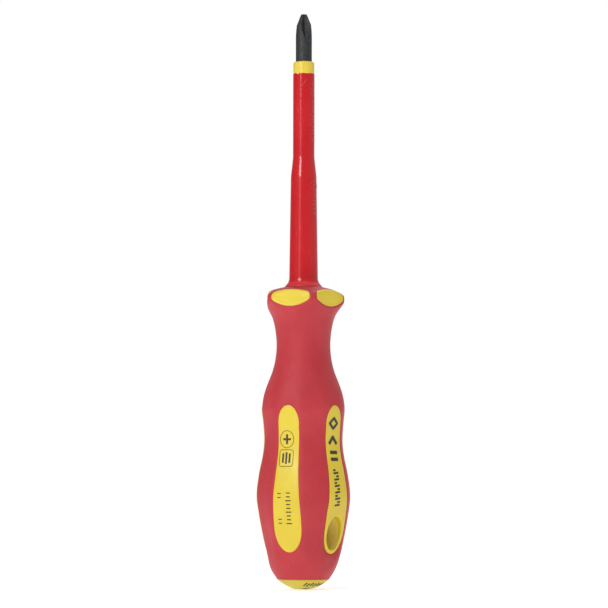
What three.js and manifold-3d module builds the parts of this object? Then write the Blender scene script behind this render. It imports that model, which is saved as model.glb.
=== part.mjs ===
// Insulated cross-slot screwdriver with a fixed blade and a three-component handle.
// Millimetres. +Z runs from the butt of the handle along the blade to its tip, and the
// origin is the centre of the butt's flat. The handle has five equal sides, the first one
// facing +X, and that side's grip inlay frames the hanging hole.

import * as THREE from "three";
import { mergeVertices } from "three/addons/utils/BufferGeometryUtils.js";
import Module from "manifold-3d";

const wasm = await Module();
wasm.setup();

// ---------------------------------------------------------------- driving dimensions

const SIDES = 5;
const HANDLE_SEGMENTS = 60; // facets round the handle, a multiple of its sides
const SHAFT_SEGMENTS = 32;
const CLEARANCE = 0.3; // between pieces that touch
const SLEEVE_CLEARANCE = 0.12; // between round sleeves that share their facets

const TOTAL_LENGTH = 210;

const BLADE_RADIUS = 2.95;
const BLADE_END_RADIUS = 1.05;
const BLADE_SHOULDER_RADIUS = 2.93;
const BLADE_SHOULDER_Z = TOTAL_LENGTH - 4.1;
const BLADE_FULL_Z = TOTAL_LENGTH - 7;
const TANG_END_Z = 34;
const WING_BOTTOM_Z = 42;
const WING_TOP_Z = 58;
const WING_HALF_WIDTH = 5.2;
const WING_THICKNESS = 2.2;
const WING_CHAMFER = 3;

const FLUTES = 4;
const FLUTE_TURN = -36; // degrees from +X to the first flute
const FLUTE_HALF_ANGLE = 46; // degrees
const FLUTE_ROOT_RADIUS = 0.74;
const FLUTE_STRAIGHT_Z = TOTAL_LENGTH - 2.5;
const FLUTE_END_Z = TOTAL_LENGTH - 9.4;

const INNER_SLEEVE_RADIUS = 3.42;
const INNER_SLEEVE_BOTTOM_Z = 64;
const INNER_SLEEVE_TOP_Z = 192.45;
const RING_BOTTOM_Z = 188.2;
const RING_RADIUS = 3.85;
const RING_ROUNDING = 0.7;

const OUTER_SLEEVE_BOTTOM_Z = 70;
const OUTER_SLEEVE_THIN_RADIUS = 3.93;
const OUTER_SLEEVE_STEP_RADIUS = 4.7;
const OUTER_SLEEVE_FOOT_RADIUS = 5.25;
const OUTER_SLEEVE_STEP_BOTTOM_Z = 149.9;
const OUTER_SLEEVE_STEP_TOP_Z = 157.4;
const OUTER_SLEEVE_FOOT_Z = 111.8;

const CAP_FLAT_RADIUS = 3;
const CAP_TOP_Z = 3.5;
const CAP_PROFILE = [[0.4, 4.3], [1.2, 6.15], [2.3, 8.05], [CAP_TOP_Z, 9.4]]; // height, radius
const CAP_SPIGOT_RADIUS = 4.5;
const CAP_SPIGOT_TOP_Z = 9.5;

const GRIP_BOTTOM_Z = CAP_TOP_Z + 0.2;
const GRIP_TOP_Z = 109.75;
const FLANGE_BOTTOM_Z = 97.9;
const FLANGE_LEVELS = 13;
const GRIP_LEVELS = 18;

// Height and radius of the handle before its flange is cut to five sides: butt, lower
// bulge, saddle, upper bulge, waist, the flare under the flange and the dome over it.
const HANDLE_PROFILE = [
  [CAP_TOP_Z, 9.45], [6.95, 11.6], [11.3, 13.12], [17.8, 14.6], [26.5, 16.22], [33.7, 17.01],
  [41.6, 16.11], [48.3, 14.74], [53.65, 14.21], [60.5, 14.59], [65.5, 15.03], [70.1, 14.41],
  [74.5, 12.99], [78.75, 11.35], [83.15, 10.26], [88.65, 9.79], [94.15, 10.28], [98.4, 11.28],
  [100.6, 12.43], [102.5, 13.82], [103.9, 15.07], [104.9, 15.87], [105.8, 15.57],
  [106.5, 14.93], [107.2, 14.13], [107.9, 12.88], [108.7, 10.97], [109.45, 8.24],
  [GRIP_TOP_Z, 7],
];
// Along each side the grip swells into a slight ridge, as wide and as flat as the side's strip.
// Height, and how far the ridge stands over the profile above.
const RIDGE_HEIGHT = 0.3;
const RIDGE_PROFILE = [[7, 0], [15, RIDGE_HEIGHT], [59, RIDGE_HEIGHT], [75, 0]];
const RIDGE_EDGE_ROUNDING = 0.7;
const FLANGE_CORNER_DISTANCE = 10.5; // from the axis to the centre of a rounded corner
const FLANGE_CORNER_RADIUS = 4.24;
const FLANGE_EDGE_ROUNDING = 1;
const FLANGE_WIDEST_Z = 104.9;
const CORNER_DROP = 0.23; // how much lower the dome over the flange lies at a corner

const CORE_BOTTOM_Z = CAP_TOP_Z + CLEARANCE;
const CORE_TOP_Z = 108.8;
const CORE_PROFILE = [
  [CORE_BOTTOM_Z, 6.6], [10, 9.8], [17.8, 11.9], [26.5, 13.5], [33.7, 14.1], [41.6, 13.2],
  [53.6, 11.4], [65.5, 12.1], [74.5, 10.4], [83.5, 7.7], [88.65, 7.3], [94.5, 7.6],
  [100.4, 8.6], [103.9, 9.8], [106.9, 9.6], [108, 8.9], [CORE_TOP_Z, 7.6],
];
const CORE_LEVELS = 15;

const COLLAR_BASE_RADIUS = 6.7;
const COLLAR_TOP_RADIUS = 5.8;
const COLLAR_BASE_Z = 109.9;
const COLLAR_TOP_Z = 111.9;

const PAD_TOP_Z = 108.45;
const PAD_BOTTOM_Z = 102.2;
const PAD_HALF_WIDTH = 7.5;
const PAD_TOP_ARC_RADIUS = 26;
const PAD_TOP_ARC_HALF_WIDTH = 5.5;
const PAD_BOTTOM_ARC_RADIUS = 12.5;
const PAD_BOTTOM_ARC_HALF_WIDTH = 6.9;
const PAD_BACK = 10.9; // from the axis to the pad's flat back

const STRIP_BOTTOM_Z = 13.5;
const STRIP_HANGING_DROP = 0.6; // the strip round the hanging hole reaches lower
const STRIP_TOP_Z = 66.4;
const STRIP_BOTTOM_END_LENGTH = 9;
const STRIP_TOP_END_LENGTH = 6.4;
const STRIP_WIDE = 5.3; // half-widths
const STRIP_NARROW = 4;
const STRIP_WIDE_Z = 25;
const STRIP_NARROW_Z = 52;
const STRIP_PROUD = 0.15;
const STRIP_END_PROUD = 0.3; // at both ends of the strip
const STRIP_END_RISE = 9; // length over which it rises to that

const HOLE_CENTRE_Z = 20.35;
const HOLE_HALF_WIDTH = 3.9;
const HOLE_HALF_HEIGHT = 6;

const REACH = 30; // further out than anything on the handle

const YELLOW = new THREE.MeshStandardMaterial({ color: 0xf0d94b, roughness: 0.45, metalness: 0 });
const SOFT_RED = new THREE.MeshStandardMaterial({ color: 0xc6404a, roughness: 0.7, metalness: 0 });
const GLOSS_RED = new THREE.MeshStandardMaterial({ color: 0xcb2228, roughness: 0.25, metalness: 0 });
const BLACK_STEEL = new THREE.MeshStandardMaterial({ color: 0x3a3d40, roughness: 0.5, metalness: 0.8 });

// ---------------------------------------------------------------- solids and meshes

// Turns a closed geometry into a solid that can be joined and cut.
function solidOf(geometry) {
  const bare = geometry.clone();
  bare.deleteAttribute("normal");
  bare.deleteAttribute("uv");
  const merged = mergeVertices(bare, 1e-4);
  const index = merged.index.array;
  const triangles = [];
  for (let i = 0; i < index.length; i += 3) {
    const [a, b, c] = [index[i], index[i + 1], index[i + 2]];
    if (a !== b && b !== c && c !== a) triangles.push(a, b, c);
  }
  return new wasm.Manifold(new wasm.Mesh({
    numProp: 3,
    vertProperties: new Float32Array(merged.attributes.position.array),
    triVerts: new Uint32Array(triangles),
  }));
}

function meshOf(name, solid, material) {
  const { vertProperties, triVerts } = solid.getMesh();
  const geometry = new THREE.BufferGeometry();
  geometry.setAttribute("position", new THREE.BufferAttribute(vertProperties, 3));
  geometry.setIndex(new THREE.BufferAttribute(triVerts, 1));
  geometry.computeVertexNormals();
  const mesh = new THREE.Mesh(geometry, material);
  mesh.name = name;
  return mesh;
}

// A body of revolution from a profile of [height, radius] points, run up the outside and
// down the inside.
function revolve(profile, segments) {
  const points = profile.map(([height, radius]) => new THREE.Vector2(radius, height));
  if (profile[0][1] > 0) points.push(points[0].clone());
  const geometry = new THREE.LatheGeometry(points, segments);
  geometry.rotateX(Math.PI / 2);
  geometry.rotateZ(Math.PI / 2);
  return solidOf(geometry);
}

// A solid through rings of points that each run anticlockwise seen from above, lowest ring
// first, closed by a flat fan at each end.
function loft(rings) {
  const count = rings[0].length;
  const centre = (ring) => ring
    .reduce((sum, point) => sum.add(point), new THREE.Vector3())
    .divideScalar(ring.length);
  const points = [...rings.flat(), centre(rings[0]), centre(rings[rings.length - 1])];
  const lowCentre = points.length - 2;
  const highCentre = points.length - 1;
  const lastRing = (rings.length - 1) * count;
  const index = [];
  for (let i = 0; i < count; i += 1) {
    const next = (i + 1) % count;
    index.push(lowCentre, next, i, highCentre, lastRing + i, lastRing + next);
    for (let start = 0; start < lastRing; start += count) {
      const above = start + count;
      index.push(start + i, start + next, above + next, start + i, above + next, above + i);
    }
  }
  const geometry = new THREE.BufferGeometry().setFromPoints(points);
  geometry.setIndex(index);
  return solidOf(geometry);
}

// Pushes an outline of (sideways, height) points out of one side of the handle, from the
// axis to beyond the surface. The side is given by its turn from +X in degrees.
function sidePrism(outline, turn, start = 0, length = REACH) {
  const geometry = new THREE.ExtrudeGeometry(new THREE.Shape(outline), {
    depth: length, bevelEnabled: false,
  });
  const sideways = new THREE.Vector3(0, 1, 0);
  const up = new THREE.Vector3(0, 0, 1);
  const outwards = new THREE.Vector3(1, 0, 0);
  geometry.translate(0, 0, start);
  geometry.applyMatrix4(new THREE.Matrix4().makeBasis(sideways, up, outwards));
  geometry.rotateZ(THREE.MathUtils.degToRad(turn));
  return solidOf(geometry);
}

// ---------------------------------------------------------------- curves

// A smooth curve through [height, radius] stations, as a function of height.
function smoothCurve(stations) {
  const last = stations.length - 1;
  const slopes = stations.map((_, i) => {
    const [z0, r0] = stations[Math.max(i - 1, 0)];
    const [z1, r1] = stations[Math.min(i + 1, last)];
    return (r1 - r0) / (z1 - z0);
  });
  return (z) => {
    let i = 0;
    while (i < last - 1 && z > stations[i + 1][0]) i += 1;
    const [z0, r0] = stations[i];
    const [z1, r1] = stations[i + 1];
    const span = z1 - z0;
    const t = THREE.MathUtils.clamp((z - z0) / span, 0, 1);
    const ease = t * t * (3 - 2 * t);
    return r0 * (1 - ease) + r1 * ease
      + span * t * (1 - t) * (slopes[i] * (1 - t) - slopes[i + 1] * t);
  };
}

// The lesser of two radii, with the edge where they meet rounded.
function roundedMin(a, b, rounding) {
  const blend = Math.max(rounding - Math.abs(a - b), 0) / rounding;
  return Math.min(a, b) - blend * blend * rounding / 4;
}

const handleProfile = smoothCurve(HANDLE_PROFILE);
const ridgeProfile = smoothCurve(RIDGE_PROFILE);
const coreProfile = smoothCurve(CORE_PROFILE);

// The angle from the middle of the nearest side, from 0 to half a side.
function angleFromSide(angle) {
  const half = Math.PI / SIDES;
  return Math.abs(THREE.MathUtils.euclideanModulo(angle + half, 2 * half) - half);
}

// Distance from the axis to the flange's rounded five-sided outline, at an angle from +X.
function flangeOutline(angle) {
  const half = Math.PI / SIDES;
  const fromSide = angleFromSide(angle);
  const apothem = FLANGE_CORNER_DISTANCE * Math.cos(half) + FLANGE_CORNER_RADIUS;
  const flatHalfWidth = FLANGE_CORNER_DISTANCE * Math.sin(half);
  const flat = apothem / Math.cos(fromSide);
  if (flat * Math.sin(fromSide) <= flatHalfWidth) return flat;
  const fromCorner = half - fromSide;
  const offset = FLANGE_CORNER_DISTANCE * Math.sin(fromCorner);
  return FLANGE_CORNER_DISTANCE * Math.cos(fromCorner)
    + Math.sqrt(FLANGE_CORNER_RADIUS ** 2 - offset ** 2);
}

function stripHalfWidth(z) {
  const t = THREE.MathUtils.clamp((z - STRIP_WIDE_Z) / (STRIP_NARROW_Z - STRIP_WIDE_Z), 0, 1);
  return STRIP_NARROW + (STRIP_WIDE - STRIP_NARROW) * (1 + Math.cos(Math.PI * t)) / 2;
}

// The grip below the flange: round, with five ridges whose crests are flattened to chords.
function gripRadius(angle, z) {
  const ridge = ridgeProfile(z);
  const crest = handleProfile(z) + ridge;
  const halfWidth = stripHalfWidth(z);
  const crestEdge = Math.asin(halfWidth / crest);
  const fromSide = angleFromSide(angle);
  const slope = Math.max(fromSide - crestEdge, 0) / (Math.PI / SIDES - crestEdge);
  const round = crest - ridge * (1 - Math.cos(Math.PI * slope)) / 2;
  const chordDrop = crest - Math.sqrt(crest ** 2 - halfWidth ** 2);
  const flatness = Math.min(ridge / RIDGE_HEIGHT, 1);
  const flat = (crest - flatness * chordDrop) / Math.cos(fromSide);
  return roundedMin(round, flat, RIDGE_EDGE_ROUNDING * flatness + 1e-6);
}

// The whole handle: the grip, and over it the flange cut to five flat sides.
function handleRadius(angle, z) {
  if (z < FLANGE_BOTTOM_Z) return gripRadius(angle, z);
  const aboveWidest = THREE.MathUtils.smoothstep(z, FLANGE_WIDEST_Z, FLANGE_WIDEST_Z + 1);
  const half = Math.PI / SIDES;
  const nearCorner = THREE.MathUtils.smoothstep(angleFromSide(angle), 0.2 * half, half);
  const dome = handleProfile(z + CORNER_DROP * aboveWidest * nearCorner);
  return roundedMin(dome, flangeOutline(angle), FLANGE_EDGE_ROUNDING);
}

// How far a grip strip stands out of the handle's surface.
function stripProud(z) {
  const fromEnd = Math.min(STRIP_TOP_Z - z, z - STRIP_BOTTOM_Z);
  const rise = 1 - THREE.MathUtils.smoothstep(fromEnd, 0, STRIP_END_RISE);
  return STRIP_PROUD + (STRIP_END_PROUD - STRIP_PROUD) * rise;
}

function levels(bottom, top, count) {
  return Array.from({ length: count }, (_, i) => bottom + (top - bottom) * i / (count - 1));
}

// The handle's outer shape between two heights, with proud(z) added to its radius.
function handleBody(heights, proud = () => 0) {
  return loft(heights.map((z) => Array.from({ length: HANDLE_SEGMENTS }, (_, i) => {
    const angle = 2 * Math.PI * i / HANDLE_SEGMENTS;
    const radius = handleRadius(angle, z) + proud(z);
    return new THREE.Vector3(radius * Math.cos(angle), radius * Math.sin(angle), z);
  })));
}

// ---------------------------------------------------------------- outlines on the handle

// Closes a half outline, which runs up the right-hand side, with its mirror image.
function mirrored(points) {
  const half = points.filter((point, i) => i === 0 || point.distanceTo(points[i - 1]) > 1e-3);
  const left = half
    .filter((point) => Math.abs(point.x) > 1e-6)
    .reverse()
    .map((point) => new THREE.Vector2(-point.x, point.y));
  return [...half, ...left];
}

// Moves every point of an anticlockwise outline outwards by a distance.
function grown(outline, distance) {
  const count = outline.length;
  return outline.map((point, i) => {
    const before = outline[(i + count - 1) % count];
    const after = outline[(i + 1) % count];
    const along = after.clone().sub(before).normalize();
    return new THREE.Vector2(point.x + along.y * distance, point.y - along.x * distance);
  });
}

// A flange pad: a shallow arc on top, short upright sides and a deep arc below.
function padOutline() {
  const topCentre = PAD_TOP_Z - PAD_TOP_ARC_RADIUS;
  const topTurn = Math.asin(PAD_TOP_ARC_HALF_WIDTH / PAD_TOP_ARC_RADIUS);
  const topCornerZ = topCentre + PAD_TOP_ARC_RADIUS * Math.cos(topTurn);
  const bottomCentre = PAD_BOTTOM_Z + PAD_BOTTOM_ARC_RADIUS;
  const bottomTurn = Math.asin(PAD_BOTTOM_ARC_HALF_WIDTH / PAD_BOTTOM_ARC_RADIUS);
  const bottomCornerZ = bottomCentre - PAD_BOTTOM_ARC_RADIUS * Math.cos(bottomTurn);
  const sideBottomZ = bottomCornerZ + 1;
  const sideTopZ = topCornerZ - 1.7;
  const half = new THREE.Path();
  half.absarc(0, bottomCentre, PAD_BOTTOM_ARC_RADIUS, -Math.PI / 2, bottomTurn - Math.PI / 2, false);
  half.quadraticCurveTo(PAD_HALF_WIDTH, bottomCornerZ + 0.4, PAD_HALF_WIDTH, sideBottomZ);
  half.lineTo(PAD_HALF_WIDTH, sideTopZ);
  half.quadraticCurveTo(PAD_HALF_WIDTH - 0.2, topCornerZ - 0.4, PAD_TOP_ARC_HALF_WIDTH, topCornerZ);
  half.absarc(0, topCentre, PAD_TOP_ARC_RADIUS, Math.PI / 2 - topTurn, Math.PI / 2, false);
  return mirrored(half.getPoints(3));
}

// A grip strip: half an ellipse at each end, and sides that narrow upwards between them.
function stripOutline(bottom) {
  const bottomCentre = bottom + STRIP_BOTTOM_END_LENGTH;
  const topCentre = STRIP_TOP_Z - STRIP_TOP_END_LENGTH;
  const quarter = levels(0, Math.PI / 2, 6);
  const lowEnd = quarter.map((turn) => new THREE.Vector2(
    STRIP_WIDE * Math.sin(turn), bottomCentre - STRIP_BOTTOM_END_LENGTH * Math.cos(turn)));
  const sides = levels(bottomCentre, topCentre, 7).slice(1, -1)
    .map((z) => new THREE.Vector2(stripHalfWidth(z), z));
  const highEnd = quarter.map((turn) => new THREE.Vector2(
    STRIP_NARROW * Math.cos(turn), topCentre + STRIP_TOP_END_LENGTH * Math.sin(turn)));
  return mirrored([...lowEnd, ...sides, ...highEnd]);
}

function holeOutline() {
  const ellipse = new THREE.EllipseCurve(0, HOLE_CENTRE_Z, HOLE_HALF_WIDTH, HOLE_HALF_HEIGHT);
  return ellipse.getPoints(20).slice(0, -1);
}

function sideTurn(side) {
  return side * 360 / SIDES;
}

function stripBottom(side) {
  return side === 0 ? STRIP_BOTTOM_Z - STRIP_HANGING_DROP : STRIP_BOTTOM_Z;
}

const sides = Array.from({ length: SIDES }, (_, side) => side);
const gripHeights = [
  ...levels(GRIP_BOTTOM_Z, FLANGE_BOTTOM_Z, GRIP_LEVELS).slice(0, -1),
  ...levels(FLANGE_BOTTOM_Z, GRIP_TOP_Z, FLANGE_LEVELS),
];

// ---------------------------------------------------------------- blade

// The rod with its tapered tip and its two coined wings, grown by a distance for its pocket.
function bladeBlank(growth) {
  const rod = revolve([
    [TANG_END_Z - growth, 0],
    [TANG_END_Z - growth, BLADE_RADIUS + growth - 0.4],
    [TANG_END_Z + 0.4, BLADE_RADIUS + growth],
    [BLADE_FULL_Z, BLADE_RADIUS + growth],
    [BLADE_SHOULDER_Z, BLADE_SHOULDER_RADIUS + growth],
    [TOTAL_LENGTH, BLADE_END_RADIUS + growth],
    [TOTAL_LENGTH, 0],
  ], SHAFT_SEGMENTS);
  return rod.add(wings(growth));
}

// The wings: one thin plate through the tang, narrowed at both ends.
function wings(growth) {
  const half = WING_HALF_WIDTH + growth;
  const low = WING_BOTTOM_Z - growth;
  const high = WING_TOP_Z + growth;
  const outline = [
    [half - WING_CHAMFER, low], [half, low + WING_CHAMFER],
    [half, high - WING_CHAMFER], [half - WING_CHAMFER, high],
  ].map(([x, z]) => new THREE.Vector2(x, z));
  const thickness = WING_THICKNESS + 2 * growth;
  return sidePrism(mirrored(outline), 0, -thickness / 2, thickness);
}

// One flute's cutter: a V that runs along the blade, its root curving out to the surface.
function fluteCutter(turn) {
  const depth = 6;
  const spread = depth * Math.tan(THREE.MathUtils.degToRad(FLUTE_HALF_ANGLE));
  const heights = levels(FLUTE_END_Z - 0.5, TOTAL_LENGTH + 0.5, 12);
  const run = FLUTE_STRAIGHT_Z - FLUTE_END_Z;
  return loft(heights.map((z) => {
    const back = Math.max(FLUTE_STRAIGHT_Z - z, 0) / run;
    const root = FLUTE_ROOT_RADIUS + (BLADE_RADIUS - FLUTE_ROOT_RADIUS) * back ** 2;
    return [[root, 0], [root + depth, -spread], [root + depth, spread]]
      .map(([x, y]) => new THREE.Vector3(x, y, z));
  })).rotate([0, 0, turn]);
}

function blade() {
  let solid = bladeBlank(0);
  for (let flute = 0; flute < FLUTES; flute += 1) {
    solid = solid.subtract(fluteCutter(FLUTE_TURN + flute * 360 / FLUTES));
  }
  return meshOf("blade", solid, BLACK_STEEL);
}

// ---------------------------------------------------------------- insulation

function innerInsulation() {
  const bore = BLADE_RADIUS + SLEEVE_CLEARANCE;
  const solid = revolve([
    [INNER_SLEEVE_BOTTOM_Z, INNER_SLEEVE_RADIUS],
    [RING_BOTTOM_Z, INNER_SLEEVE_RADIUS],
    [RING_BOTTOM_Z, RING_RADIUS],
    [INNER_SLEEVE_TOP_Z - RING_ROUNDING, RING_RADIUS],
    [INNER_SLEEVE_TOP_Z - 0.3 * RING_ROUNDING, RING_RADIUS - 0.3 * RING_ROUNDING],
    [INNER_SLEEVE_TOP_Z, RING_RADIUS - RING_ROUNDING],
    [INNER_SLEEVE_TOP_Z, bore],
    [INNER_SLEEVE_BOTTOM_Z, bore],
  ], SHAFT_SEGMENTS);
  return meshOf("inner_insulation", solid, YELLOW);
}

function outerInsulation() {
  const bore = INNER_SLEEVE_RADIUS + SLEEVE_CLEARANCE;
  const top = RING_BOTTOM_Z - CLEARANCE / 2;
  const solid = revolve([
    [OUTER_SLEEVE_BOTTOM_Z, OUTER_SLEEVE_FOOT_RADIUS],
    [OUTER_SLEEVE_FOOT_Z, OUTER_SLEEVE_FOOT_RADIUS],
    [OUTER_SLEEVE_STEP_BOTTOM_Z, OUTER_SLEEVE_STEP_RADIUS],
    [OUTER_SLEEVE_STEP_TOP_Z, OUTER_SLEEVE_THIN_RADIUS],
    [top, OUTER_SLEEVE_THIN_RADIUS],
    [top, bore],
    [OUTER_SLEEVE_BOTTOM_Z, bore],
  ], SHAFT_SEGMENTS);
  return meshOf("outer_insulation", solid, GLOSS_RED);
}

// ---------------------------------------------------------------- handle

function neckCollar() {
  const bore = OUTER_SLEEVE_FOOT_RADIUS + SLEEVE_CLEARANCE;
  const solid = revolve([
    [CORE_TOP_Z + CLEARANCE, COLLAR_BASE_RADIUS],
    [COLLAR_BASE_Z, COLLAR_BASE_RADIUS],
    [COLLAR_TOP_Z, COLLAR_TOP_RADIUS],
    [COLLAR_TOP_Z, bore],
    [CORE_TOP_Z + CLEARANCE, bore],
  ], SHAFT_SEGMENTS);
  return meshOf("neck_collar", solid, GLOSS_RED);
}

// The core's plain outer shape, grown by a distance for what is moulded round it.
function coreBlank(growth) {
  return revolve([
    [CORE_BOTTOM_Z - growth, 0],
    [CORE_BOTTOM_Z - growth, coreProfile(CORE_BOTTOM_Z) + growth],
    ...levels(CORE_BOTTOM_Z + 2, CORE_TOP_Z, CORE_LEVELS)
      .map((z) => [z + growth, coreProfile(z) + growth]),
    [CORE_TOP_Z + growth, 0],
  ], SHAFT_SEGMENTS);
}

function handleCore() {
  const sleeveBore = revolve([
    [INNER_SLEEVE_BOTTOM_Z - CLEARANCE, 0],
    [INNER_SLEEVE_BOTTOM_Z - CLEARANCE, INNER_SLEEVE_RADIUS + CLEARANCE],
    [OUTER_SLEEVE_BOTTOM_Z - CLEARANCE, INNER_SLEEVE_RADIUS + CLEARANCE],
    [OUTER_SLEEVE_BOTTOM_Z - CLEARANCE, OUTER_SLEEVE_FOOT_RADIUS + CLEARANCE],
    [CORE_TOP_Z + 1, OUTER_SLEEVE_FOOT_RADIUS + CLEARANCE],
    [CORE_TOP_Z + 1, 0],
  ], SHAFT_SEGMENTS);
  const capSocket = revolve([
    [CORE_BOTTOM_Z - 1, 0],
    [CORE_BOTTOM_Z - 1, CAP_SPIGOT_RADIUS + CLEARANCE],
    [CAP_SPIGOT_TOP_Z + CLEARANCE, CAP_SPIGOT_RADIUS + CLEARANCE],
    [CAP_SPIGOT_TOP_Z + CLEARANCE, 0],
  ], SHAFT_SEGMENTS);
  const hole = sidePrism(holeOutline(), 0, -REACH, 2 * REACH);
  const solid = coreBlank(0)
    .subtract(sleeveBore)
    .subtract(bladeBlank(CLEARANCE))
    .subtract(capSocket)
    .subtract(hole);
  return meshOf("handle_core", solid, YELLOW);
}

function softGrip() {
  const mouth = revolve([
    [CORE_TOP_Z - 1, 0],
    [CORE_TOP_Z - 1, COLLAR_BASE_RADIUS + CLEARANCE],
    [GRIP_TOP_Z + 1, COLLAR_BASE_RADIUS + CLEARANCE],
    [GRIP_TOP_Z + 1, 0],
  ], SHAFT_SEGMENTS);
  const holeExit = sidePrism(grown(holeOutline(), CLEARANCE), 180);
  let solid = handleBody(gripHeights)
    .subtract(coreBlank(CLEARANCE))
    .subtract(mouth)
    .subtract(holeExit);
  for (const side of sides) {
    const pad = grown(padOutline(), CLEARANCE / 2);
    const strip = grown(stripOutline(stripBottom(side)), CLEARANCE / 2);
    solid = solid
      .subtract(sidePrism(pad, sideTurn(side), PAD_BACK - CLEARANCE / 2))
      .subtract(sidePrism(strip, sideTurn(side)));
  }
  return meshOf("soft_grip", solid, SOFT_RED);
}

function flangeInlay(side) {
  const outline = grown(padOutline(), -CLEARANCE / 2);
  const solid = sidePrism(outline, sideTurn(side), PAD_BACK)
    .intersect(handleBody(levels(FLANGE_BOTTOM_Z, GRIP_TOP_Z, FLANGE_LEVELS)));
  return meshOf(`flange_inlay_${side + 1}`, solid, YELLOW);
}

function gripInlay(side) {
  const outline = grown(stripOutline(stripBottom(side)), -CLEARANCE / 2);
  let solid = sidePrism(outline, sideTurn(side))
    .intersect(handleBody(levels(GRIP_BOTTOM_Z, STRIP_TOP_Z + 2, 16), stripProud))
    .subtract(coreBlank(CLEARANCE));
  if (side === 0) solid = solid.subtract(sidePrism(holeOutline(), 0));
  return meshOf(`grip_inlay_${side + 1}`, solid, YELLOW);
}

function endCap() {
  const dome = smoothCurve([[0, CAP_FLAT_RADIUS], ...CAP_PROFILE]);
  const solid = revolve([
    [0, 0],
    ...levels(0, CAP_TOP_Z, 6).map((z) => [z, dome(z)]),
    [CAP_TOP_Z, CAP_SPIGOT_RADIUS],
    [CAP_SPIGOT_TOP_Z, CAP_SPIGOT_RADIUS],
    [CAP_SPIGOT_TOP_Z, 0],
  ], SHAFT_SEGMENTS);
  return meshOf("end_cap", solid, YELLOW);
}

// ---------------------------------------------------------------- the assembly

const shaft = new THREE.Group();
shaft.add(blade(), innerInsulation(), outerInsulation());

const handle = new THREE.Group();
handle.add(neckCollar(), handleCore(), softGrip(), endCap());
for (const side of sides) handle.add(flangeInlay(side), gripInlay(side));

const screwdriver = new THREE.Group();
screwdriver.add(shaft, handle);

export default screwdriver;
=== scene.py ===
"""Insulated cross-slot screwdriver: its visible surfaces, materials, light and camera.

Sizes are in millimetres until a mesh is made. +Z runs from the butt of the handle to the
tip of the blade, and +X leaves the handle through the mouth of the hanging hole.
"""
import math

import bmesh
import bpy
import numpy as np
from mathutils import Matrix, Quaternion, Vector

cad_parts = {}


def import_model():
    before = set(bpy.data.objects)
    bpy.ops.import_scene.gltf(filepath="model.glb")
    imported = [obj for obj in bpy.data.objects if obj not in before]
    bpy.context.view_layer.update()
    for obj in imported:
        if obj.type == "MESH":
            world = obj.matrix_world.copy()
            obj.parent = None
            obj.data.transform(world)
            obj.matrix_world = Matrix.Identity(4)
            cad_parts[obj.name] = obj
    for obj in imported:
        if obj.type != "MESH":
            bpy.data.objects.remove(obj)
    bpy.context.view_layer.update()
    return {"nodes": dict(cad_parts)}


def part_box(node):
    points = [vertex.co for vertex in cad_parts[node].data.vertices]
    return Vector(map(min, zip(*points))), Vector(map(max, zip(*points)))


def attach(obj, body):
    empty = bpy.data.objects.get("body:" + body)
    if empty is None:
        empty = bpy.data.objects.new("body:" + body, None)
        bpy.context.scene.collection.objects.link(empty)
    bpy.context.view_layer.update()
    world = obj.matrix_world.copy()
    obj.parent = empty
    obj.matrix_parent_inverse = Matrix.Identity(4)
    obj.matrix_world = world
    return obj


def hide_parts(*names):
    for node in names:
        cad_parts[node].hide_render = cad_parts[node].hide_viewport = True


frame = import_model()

MM = 0.001

# ---- sizes, as in the CAD where it has them

SIDES = 5
HALF_SIDE = math.pi / SIDES
TOTAL_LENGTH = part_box("blade")[1].z / MM

BLADE_RADIUS = 2.95
BLADE_END_RADIUS = 1.05
BLADE_SHOULDER_RADIUS = 2.93
BLADE_SHOULDER_Z = TOTAL_LENGTH - 4.1
BLADE_FULL_Z = TOTAL_LENGTH - 7
TANG_END_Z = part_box("blade")[0].z / MM
WING_BOTTOM_Z = 42
WING_TOP_Z = 58
WING_HALF_WIDTH = 5.2
WING_THICKNESS = 2.2
WING_CORNER = 3
WING_EDGE_ROUNDING = 0.5
TANG_CHAMFER = 0.4

FLUTES = 4
FLUTE_TURN = math.radians(-36)
FLUTE_HALF_ANGLE = math.radians(46)
FLUTE_ROOT_RADIUS = 0.74
FLUTE_STRAIGHT_Z = TOTAL_LENGTH - 2.5
FLUTE_END_Z = TOTAL_LENGTH - 9.4
FLUTE_EDGE_ROUNDING = 0.12
SHOULDER_ROUNDING = 0.25
TIP_ROUNDING = 0.06

BORE_CLEARANCE = 0.03
INNER_SLEEVE_RADIUS = 3.42
INNER_SLEEVE_BOTTOM_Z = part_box("inner_insulation")[0].z / MM
INNER_SLEEVE_TOP_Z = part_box("inner_insulation")[1].z / MM
RING_BOTTOM_Z = 188.2
RING_RADIUS = 3.85
RING_ROUNDING = 0.8

SLEEVE_BOTTOM_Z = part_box("outer_insulation")[0].z / MM
SLEEVE_TOP_Z = RING_BOTTOM_Z - 0.15
SLEEVE_THIN_RADIUS = 3.93
SLEEVE_STEP_RADIUS = 4.7
SLEEVE_FOOT_RADIUS = 5.25
SLEEVE_STEP_BOTTOM_Z = 149.9
SLEEVE_STEP_TOP_Z = 157.4
STEP_STRAIGHTNESS = 0.75
SLEEVE_FOOT_Z = 111.8
FOOT_FLARE = 0.28
FOOT_FLARE_LENGTH = 0.4
SLEEVE_EDGE_ROUNDING = 0.12
CUT_WAVES = [(0.05, 3, 0.4), (0.04, 7, 2), (0.03, 13, 0)]
CUT_DROP = 0.08
NOTCH_AT = math.radians(276)
NOTCH_DEPTH = 0.45
NOTCH_WIDTH = 0.11

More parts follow.
